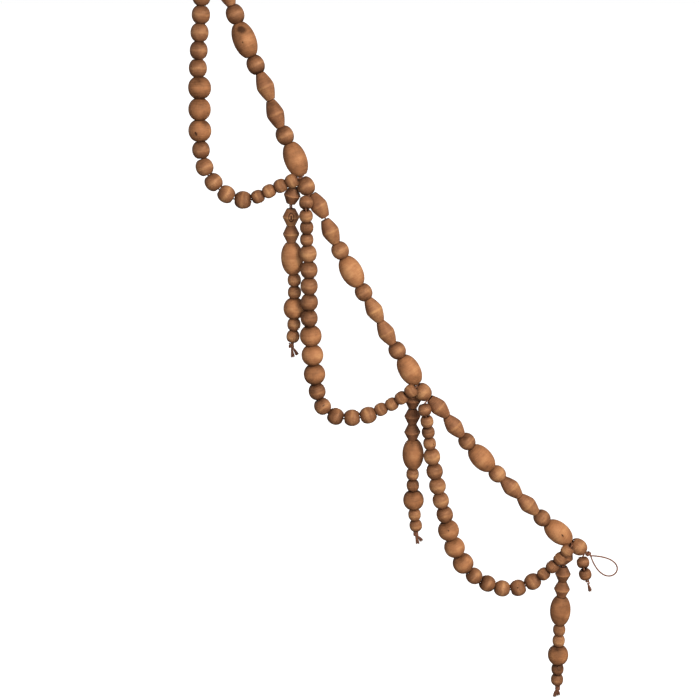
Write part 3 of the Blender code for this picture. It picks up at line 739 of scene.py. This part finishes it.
def stained_wood(slot, name, colours, roughness, gloss_band, painted_sheen, streaks, lean):
    """Maple turned and stained: three colours, then how strong the painted sheen band, the streaks and the
    painted lean of light from foot to head are.
    """
    material, tree = new_material(name)
    grain, finish = (add(tree, "Attribute", attribute_name=layer).outputs["Vector"]
                     for layer in ("grain", "finish"))
    waist = add(tree, "Attribute", attribute_name="waist").outputs["Fac"]
    tone, ridge_highlight, end = add(tree, "SeparateXYZ", {"Vector": finish}).outputs

    # Noise in the bead's own millimetres: fibres and pores are long along the bore.
    fibres = noise(tree, grain, FIBRE, 3, 0.6)
    clouds = noise(tree, grain, CLOUD, 3)
    turning = noise(tree, grain, TURNING, 2)
    pores = remap(tree, noise(tree, grain, PORE, 1), *PORE_OPENS)

    # The satin band, a painted sheen: how near the waist a point lies, after the fibres' own waviness.
    bent = number(tree, "MULTIPLY_ADD", noise(tree, grain, WAVE, 1), 0.5, waist)
    frayed = number(tree, "MULTIPLY_ADD", fibres, 0.2, bent)
    apart = number(tree, "ABSOLUTE", number(tree, "SUBTRACT", frayed, BAND_MIDDLE))
    painted_sheen_band = remap(tree, apart, BAND_REACH, 0.0, course="SMOOTHSTEP")

    # Everything that lightens or darkens the stain, added up along a scale from 0 to 1: the tone of each
    # bead, partly painted light, its fibres, clouds, turning, pores and end grain, and painted light too:
    # the sheen band at the waist, the ridge highlight, and the lean, which paints a bicone's lower cone
    # lighter than its upper one.
    shade = 0.5
    for part, factor, middle in (
            (tone, 0.20, 0), (fibres, 0.75 * streaks, 0.5), (clouds, 0.75, 0.5),
            (turning, 0.32, 0.5), (ridge_highlight, 0.18, 0), (end, -0.42, 0),
            (pores, -0.16 * streaks, 0), (painted_sheen_band, painted_sheen, 0.1), (waist, lean, 0)):
        base = number(tree, "ADD", shade, -middle * factor)
        shade = number(tree, "MULTIPLY_ADD", part, factor, base)
    relief = number(tree, "MULTIPLY_ADD", pores, -0.04, number(tree, "MULTIPLY", fibres, 0.03))

    # Marks: one where the distance from a mark's centre, in its own reach, is under one.
    for mark, centre in marks_for(slot):
        own = add(tree, "Mapping", {
            "Vector": grain, "Location": tuple(centre), "Scale": (MARK_DEPTH, mark.wide, mark.long),
            "Rotation": (math.radians(mark.lean), 0, math.radians(mark.around))}, vector_type="TEXTURE")
        away = add(tree, "VectorMath", {0: own.outputs["Vector"]}, operation="LENGTH")
        away = away.outputs["Value"]
        spot = remap(tree, away, 1.1, 0.4, course="SMOOTHSTEP")
        if mark.rings:
            wave = number(tree, "SINE", number(tree, "MULTIPLY", away, math.tau * mark.rings))
            spot = number(tree, "MULTIPLY", spot, remap(tree, wave, -0.6, 1.0))
        shade = number(tree, "MULTIPLY_ADD", spot, -mark.strength, shade)

    stain = ramp(tree, shade, *zip((0.0, 0.5, 1.0), colours))
    uneven = remap(tree, fibres, 0.0, 1.0, roughness - ROUGHNESS_SPREAD, roughness + ROUGHNESS_SPREAD)
    bump = add(tree, "Bump", {"Height": relief, "Distance": MM, "Strength": 1.0})
    round_the_bead = add(tree, "Tangent", direction_type="UV_MAP", uv_map="turned")
    surface(tree, {
        "Base Color": stain, "Roughness": uneven, "Normal": bump.outputs["Normal"],
        "Tangent": round_the_bead.outputs["Tangent"], "Anisotropic": gloss_band, "IOR": 1.45,
        "Specular IOR Level": 0.4, "Specular Tint": linear("#F2C09A")})
    return material

# %% [markdown]
# ## Turning the beads
#
# All the beads are made first, because the marks need to know where in its block of wood
# each bead lies. Then each face takes the wood of the bead that it belongs to.

# %% Turn all the beads
turned = {}
for node, beads in pieces.items():
    parts, maps = zip(*(bead_part(node, index, placed) for index, placed in enumerate(beads)))
    mesh = mesh_from(node + "_turned", parts)
    layer = mesh.uv_layers.new(name="turned")
    layer.uv.foreach_set("vector", np.concatenate([turns.ravel() for turns in maps]).astype(np.float32))
    # A bead has as many faces as points, because its grid closes both ways.
    turned[node] = mesh, [BEADS[placed.kind].wood for placed, part in zip(beads, parts) for _ in part.points]
print("meshes of turned beads:", len(turned))

# %% Stain them
# Each wood: its name, its colours from dark to light, its roughness and how long its gloss
# is drawn out, and the strength of its painted sheen at the waist, its streaks, and its
# painted light from foot to head, which makes a bicone's lower cone lighter than its upper one.
STAINS = {
    "round_bead": ("stained_maple_satin", ("#351F14", "#7F5539", "#B8875B"), 0.42, 0.8, 0.15, 0.4, 0),
    "oval_bead": ("stained_maple_sanded", ("#3D2517", "#936240", "#C08D5F"), 0.55, 0.5, 0.10, 0.35, 0),
    # The bicones' last value, -0.1, is painted light: their lower cone lighter, their upper one darker.
    "bicone_bead": ("stained_maple_coned", ("#331E13", "#7E5338", "#B28154"), 0.5, 0.6, 0.04, 0.4, -0.1),
}
stained = {slot: stained_wood(slot, *row) for slot, row in STAINS.items()}
for node, (mesh, woods) in turned.items():
    used = sorted(set(woods))
    for wood in used:
        mesh.materials.append(stained[wood])
    mesh.polygons.foreach_set("material_index", [used.index(wood) for wood in woods])
    place_piece(mesh, node)
print("marks in the wood:", len(MARKS))

# %% [markdown]
# ## Cord
#
# The beads hang on a thin cord laid from three plies, and two runs of it lie side by side
# wherever a bead holds a pair. A plain tube would look like wire, so each ply is a thin
# tube of its own that winds round the cord's middle line. That line follows the same points
# as the solids: straight through each bore, with each corner drawn as a short curve.

# %% Middle line of a cord
CORNER_REACH = 1.6
LEG_SHARE = 0.45
SOFT_STEPS = 4
SAMPLE = 0.6
# A direction that no cord sets out in.
ASKEW = (0.13, 0.97, 0.2)


def softened(points):
    """The route with each of its corners made soft."""
    threes = zip(points, points[1:], points[2:])
    soft = [corner(*three, CORNER_REACH, SOFT_STEPS, LEG_SHARE) for three in threes]
    return np.vstack([points[:1], *soft, points[-1:]])


def evenly(path):
    """The path with a point every SAMPLE of its length."""
    lengths = measure(path)
    s = np.linspace(0, lengths[-1], max(8, int(lengths[-1] / SAMPLE)) + 1)
    return point_at(path, lengths, s).T


def carried_sides(path):
    """Two directions square to the path, at each of its points.

    The first is carried from point to point, each time less its share along the path, so that
    it never spins. The second is its cross product with the way along the path.
    """
    along = np.gradient(path, axis=0)
    along /= np.linalg.norm(along, axis=1)[:, None]
    side = np.cross(along[0], ASKEW)
    sides = []
    for way in along:
        side = unit(side - way * np.dot(side, way))
        sides.append(side)
    return np.array(sides), np.cross(along, sides)

# %% [markdown]
# A ply is a helix round the cord's own middle line, with one turn in each lay. Near a cut
# end the plies come unlaid: their distance grows, their turning slows, and each ends a
# little before or after the others. Their threads open into a tuft, wider towards its tip.

# %% Plies and tufts
PLIES = 3
PLY_SIDES = 6
PLY_OFFSET = 0.39
PLY_RADIUS = 0.44
LAY = 3.6
# A cut end: how far it has come unlaid, how much wider, thicker and less turned it is there,
# how far its plies stray and end apart, and how they taper.
FRAY_LENGTH = 9.6
FRAY_SPREAD = 0.62
FRAY_SWELL = 1.3
FRAY_UNTURN = 0.8
PLY_STRAY = 0.3
TIP_SPREAD = 1.6
TIP_TAPER = 0.6
FRAY_CURVE = 1.5
TUFT_THREADS = 70
TUFT_WIDTH = 4.8
TUFT_STEPS = 9
THREAD_RADIUS = 0.17
THREAD_STRAY, THREAD_TAPER = 0.25, 0.5


def tube(path, radii, sides):
    """A tube with flat ends: each point of the path is the middle of a ring of that radius."""
    right, front = carried_sides(path)
    skin = around(radii, measure(path), sides)
    points = path[:, None] + skin[..., :1] * right[:, None] + skin[..., 1:2] * front[:, None]
    ring = np.arange(sides)
    caps = np.stack([ring[::-1], (len(path) - 1) * sides + ring])
    return Part(points.reshape(-1, 3), [grid_faces(len(path), sides, closed=False), caps],
                {"skin": skin.reshape(-1, 3)})


def plies_of(route, frayed):
    """Tubes of the three plies, and the tufts at those of the cord's two ends that are frayed.

    The middle of a ply lies at path + offset * (cos(b) * right + sin(b) * front), where b grows
    by one turn in each lay and by less where the cord comes unlaid.
    """
    path = evenly(softened(route))
    lengths = measure(path)
    # How far the cord has come unlaid at each point: 0 where it is tight, 1 at a cut end.
    loose = np.zeros(len(path))
    for cut, from_end in zip(frayed, (lengths, lengths[-1] - lengths)):
        if cut:
            loose = np.maximum(loose, 1 - from_end / FRAY_LENGTH)
    right, front = carried_sides(path)
    rate = math.tau / LAY * (1 - FRAY_UNTURN * loose)
    winding = np.concatenate([[0], np.cumsum(np.diff(lengths) * (rate[1:] + rate[:-1]) / 2)])
    offset = (PLY_OFFSET + FRAY_SPREAD * loose ** FRAY_CURVE)[:, None]
    tubes = []
    for k in range(PLIES):
        angle = (winding + k * math.tau / PLIES + rng.uniform(-PLY_STRAY, PLY_STRAY) * loose)[:, None]
        middle = path + offset * (np.cos(angle) * right + np.sin(angle) * front)
        radii = PLY_RADIUS * (1 + (FRAY_SWELL - 1) * loose)
        first, short = (int(rng.uniform(0, TIP_SPREAD) / SAMPLE) if cut else 0 for cut in frayed)
        middle, radii = middle[first:len(path) - short], radii[first:len(path) - short]
        for cut, tip in zip(frayed, (0, -1)):
            if cut:
                radii[tip] *= TIP_TAPER
        tubes.append(tube(middle, radii, PLY_SIDES))
    for cut, way in zip(frayed, (-1, 1)):
        if cut:
            end = slice(-int(FRAY_LENGTH / SAMPLE), None)
            tubes += tuft(path[::way][end], right[::way][end], front[::way][end])
    return tubes


def tuft(path, right, front):
    """The threads of a frayed end.

    A thread lies at path + r * (cos(a) * right + sin(a) * front), with an angle of its own, and
    r grows evenly from a share of the cord's radius to the same share of the tuft's.
    """
    threads = []
    for _ in range(TUFT_THREADS):
        last = len(path) - int(rng.uniform(0, TIP_SPREAD) / SAMPLE)
        rows = np.linspace(0, last - 1, TUFT_STEPS).round().astype(int)
        t = (rows / (len(path) - 1))[:, None]
        share, angle = math.sqrt(rng.uniform()), rng.uniform(0, math.tau) + rng.normal(0, THREAD_STRAY) * t
        radius = share * (CORD + (TUFT_WIDTH - CORD) * t) / 2
        middle = path[rows] + radius * (np.cos(angle) * right[rows] + np.sin(angle) * front[rows])
        threads.append(tube(middle, THREAD_RADIUS * (1 - THREAD_TAPER * t[:, 0] ** 3), 3))
    return threads

# %% [markdown]
# The knots are overhand knots pulled tight. The eye sees a lump of turns that cross the
# strand at a slant, so a cord's own route makes those turns: it leaves its place in the
# pair, winds twice round the middle, and comes back.

# %% Knots in a route
BEHIND = BACK * PAIR
PAIR_KNOT_WIDTH = 5.4
DROP_KNOT_WIDTH = 5.2
SINGLE_KNOT_WIDTH = 4
KNOT_LENGTH = 6
KNOT_INSET, DROP_KNOT_INSET = 0.6, 0.9
KNOT_BODY = 4.2
KNOT_SLANT = 0.42
KNOT_STEPS = 44
KNOT_TURNS = 2
KNOT_SWELL = 5


def knot_turns(centre, down, width, start, stop, lean=0.0, slant=KNOT_SLANT):
    """Route through a knot, from start to stop, in turns round its middle.

    A point is centre + (r * cos(a) + lean) * right + r * sin(a) * front + w * down. The angle a
    runs on by whole turns from that of the start, r swells from the start's to the knot's radius
    and back, and w moves on evenly plus slant * r * cos(a), which tilts the turns.
    """
    right = unit(np.cross(down, BACK))
    axes = np.array([right, np.cross(down, right), down])
    (x0, y0, w0), (x1, y1, w1) = (axes @ (end - centre) for end in (start, stop))
    t = np.linspace(0, 1, KNOT_STEPS)
    swell = np.clip(np.minimum(t, 1 - t) * KNOT_SWELL, 0, 1)
    swell = swell * swell * (3 - 2 * swell)
    begin, finish = math.atan2(y0, x0), math.atan2(y1, x1)
    finish += math.tau * (KNOT_TURNS + math.ceil((begin - finish) / math.tau))
    angle = begin + (finish - begin) * t
    inner = math.hypot(x0, y0) * (1 - t) + math.hypot(x1, y1) * t
    radius = inner + ((width - CORD) / 2 - inner) * swell
    climb = w0 * (1 - t) + w1 * t + slant * radius * np.cos(angle) * swell
    steps = np.column_stack([radius * np.cos(angle) + lean * swell, radius * np.sin(angle), climb])
    return centre + steps @ axes

# %% [markdown]
# The routes are the same as in the solids. The main cord runs from the top knot through
# every bead of the main strand. The swag cord runs beside it through each junction bead and
# from swag to swag. Each drop's cord is doubled over the main cord in a bight, and its two
# ends run down side by side to a knot. The loops that the garland hangs by have their own.

# %% Points of the routes
LOOP_HEIGHT = 32
LOOP_WIDTH = 17
LOOP_FULLNESS = 1.3
LOOP_STEPS = 48
TAIL_LENGTH = 14
LEAD_OUT = 2
LEAD_IN = 4.4
BIGHT_ROOM = 0.12
BIGHT = CORD + CLEAR + BIGHT_ROOM
BIGHT_STEPS = 9
BIGHT_OUT = 2.4
BIGHT_BACK = 1.5


def threaded(beads, offset):
    """A cord's points through a row of beads, from mouth to mouth, moved by the offset."""
    joints = [(above.foot + below.head) / 2 for above, below in zip(beads, beads[1:])]
    return [point + offset for point in (beads[0].head, *joints, beads[-1].foot)]


def radial_step(point, along, target):
    """A point square out from the strand at the point, on the side of the target."""
    outward = target - point
    return point + unit(outward - along * np.dot(outward, along)) * LEAD_IN


def loop_turn(base, rise):
    """The drop-shaped turn of a hanging loop, from its left leg round to its right one."""
    side = unit(np.cross(rise, BACK))
    turn = np.linspace(0, math.tau, LOOP_STEPS + 1)[:, None]
    out = LOOP_WIDTH / 2 * np.sin(turn) * np.sin(turn / 2) * LOOP_FULLNESS
    return base + rise * (1 - np.cos(turn)) / 2 + side * out + BEHIND * (turn / math.pi - 1)


def hanging_loop(foot, base, rise):
    """A whole loop: one leg wound up through the knot, round, and the other straight down."""
    down = -unit(rise)
    middle, half = (foot + base) / 2, down * KNOT_BODY / 2
    wound = knot_turns(middle, down, PAIR_KNOT_WIDTH, middle - half - BEHIND, middle + half - BEHIND)
    return np.vstack([wound[::-1], loop_turn(base, rise), [foot + BEHIND]])

# %% Routes of all seven cords
up = -direction(junctions[:1])
top_foot = junctions[0].head + up * GAP_BELOW
top_base = top_foot + up * KNOT_LENGTH
top_rise = vec((0, 0, CORD / 2)) - top_base
lean = direction(junctions[3:])
end_foot = junctions[3].foot + lean * GAP_BELOW
end_base = end_foot + lean * KNOT_LENGTH

cords = {
    "hanging_loop_top": (hanging_loop(top_foot, top_base, top_rise), (False, False)),
    "hanging_loop_end": (hanging_loop(end_foot, end_base, lean * LOOP_HEIGHT), (False, False)),
}

points = [top_foot + up * KNOT_LENGTH / 2 + BEHIND]
for junction, section in zip(junctions, sections):
    points += threaded([junction], BEHIND) + threaded(section, BEHIND)
points += threaded(junctions[3:], BEHIND) + [end_foot + lean * KNOT_LENGTH / 2 + BEHIND]
cords["main_cord"] = (np.array(points), (False, False))

points = [top_foot + up * KNOT_LENGTH / 2 - BEHIND, top_foot - up * GAP_BELOW / 2 - BEHIND]
points += [vec(row) for row in START_ROUTE] + threaded(swags[0], -BEHIND)
for n, (beads, after) in enumerate(zip(swags, swags[1:] + [tail])):
    junction = junctions[n + 1]
    along = direction([junction])
    entry = junction.head - along * (BESIDE_REACH + CLEAR + CORD / 2) - BEHIND
    points.append(beads[-1].foot + direction(beads[-1:]) * LEAD_OUT - BEHIND)
    points += [radial_step(entry, along, beads[-1].foot), entry, *threaded([junction], -BEHIND)]
    if n + 1 < len(sections):
        along = unit(along + direction(sections[n + 1][:1]))
    leave = junction.foot + along * GAP_BELOW / 2 - BEHIND
    points += [leave, radial_step(leave, along, after[0].head), *threaded(after, -BEHIND)]
down = direction(tail[-1:])
tail_end = tail[-1].foot - BEHIND
middle = tail_end + down * KNOT_LENGTH / 2
turns = knot_turns(middle, down, SINGLE_KNOT_WIDTH, tail_end + down * KNOT_INSET,
                   tail_end + down * (KNOT_LENGTH - KNOT_INSET))
cords["swag_cord"] = (np.vstack([points, turns, [tail_end + down * TAIL_LENGTH]]), (False, True))

# %% Routes of the drops' cords
# Seen from the front, a drop's two strands lie side by side, and its knot leans to one side.
ABREAST = unit(vec((1, 0.35, 0)))
KNOT_LEANS = (-0.9, -0.7, 0.9)
TAIL_LIFT = vec((0, 0, 0.6))

for n, (drop, (top, beads)) in enumerate(zip(DROPS, drops)):
    junction, above = junctions[n + 1], sections[n][-1]
    along = unit(direction([above]) + direction([junction]))
    # The point of the main cord that the bight goes round.
    share = (1.5 * CLEAR + CORD / 2) / GAP_ABOVE
    held = above.foot + share * (junction.head - above.foot) + BEHIND
    across = unit(np.cross(along, BACK))
    across = across if across[2] < 0 else -across
    bight = [held + BIGHT * (math.cos(a) * BACK - math.sin(a) * across)
             for a in np.linspace(0, math.pi, BIGHT_STEPS)]
    foot, down = beads[-1].foot, direction(beads)
    middle = foot + down * KNOT_LENGTH / 2
    legs = []
    for sign, tip in zip((1, -1), drop.tips[::-1]):
        offset = sign * PAIR * ABREAST
        out = foot + down * KNOT_LENGTH + offset
        turns = knot_turns(middle, down, DROP_KNOT_WIDTH, foot + down * DROP_KNOT_INSET + offset, out,
                           KNOT_LEANS[n], sign * KNOT_SLANT)
        legs.append([vec(tip), (out + vec(tip)) / 2 + TAIL_LIFT, *turns[::-1],
                     *threaded(beads, offset)[::-1], top.foot + offset,
                     top.head + sign * PAIR * unit(BACK + ABREAST),
                     top.head - direction([top]) * LEAD_OUT + sign * PAIR * BACK,
                     held + (sign * BIGHT + BIGHT_BACK) * BACK + across * BIGHT_OUT])
    cords[f"drop_cord_{n + 1}"] = (np.array(legs[0] + bight + legs[1][::-1]), (True, True))
for name, (route, _) in cords.items():
    print(name, "length", round(measure(softened(route))[-1]), "mm")

# %% [markdown]
# ## Waxed cotton
#
# The cord is a hard-laid cotton twine, dyed dark brown a little unevenly and lightly waxed,
# so that it has a dull shine and a soft sheen at its edges. Each ply carries the distance
# along itself, so that its fine threads run lengthways.

# %% Cord material
THREAD = (0.14, 0.14, 1.8)
THREAD_RELIEF = 0.06
DYE_PATCH = (6, 6, 6)

waxed_cotton, tree = new_material("waxed_cotton_cord")
skin = add(tree, "Attribute", attribute_name="skin").outputs["Vector"]
threads = noise(tree, skin, THREAD, 2, 0.6)
mixed = number(tree, "MULTIPLY_ADD", noise(tree, skin, DYE_PATCH, 2), 0.5,
               number(tree, "MULTIPLY", threads, 0.7))
dye = ramp(tree, mixed, (0.38, "#3A1E12"), (0.82, "#8C573A"))
ridges = add(tree, "Bump", {"Height": threads, "Distance": THREAD_RELIEF * MM, "Strength": 1.0})
surface(tree, {
    "Base Color": dye, "Roughness": 0.62, "IOR": 1.45, "Normal": ridges.outputs["Normal"],
    "Sheen Weight": 0.25, "Sheen Roughness": 0.5, "Sheen Tint": linear("#C79A76")})

# %% Lay all the cords
for node, (route, frayed) in cords.items():
    tubes = plies_of(route, frayed)
    for part in tubes:
        part.layers["skin"] += rng.uniform(-BLOCK, BLOCK, 3)
    mesh = mesh_from(node + "_laid", tubes)
    mesh.materials.append(waxed_cotton)
    place_piece(mesh, node)
print("cords laid:", len(cords))
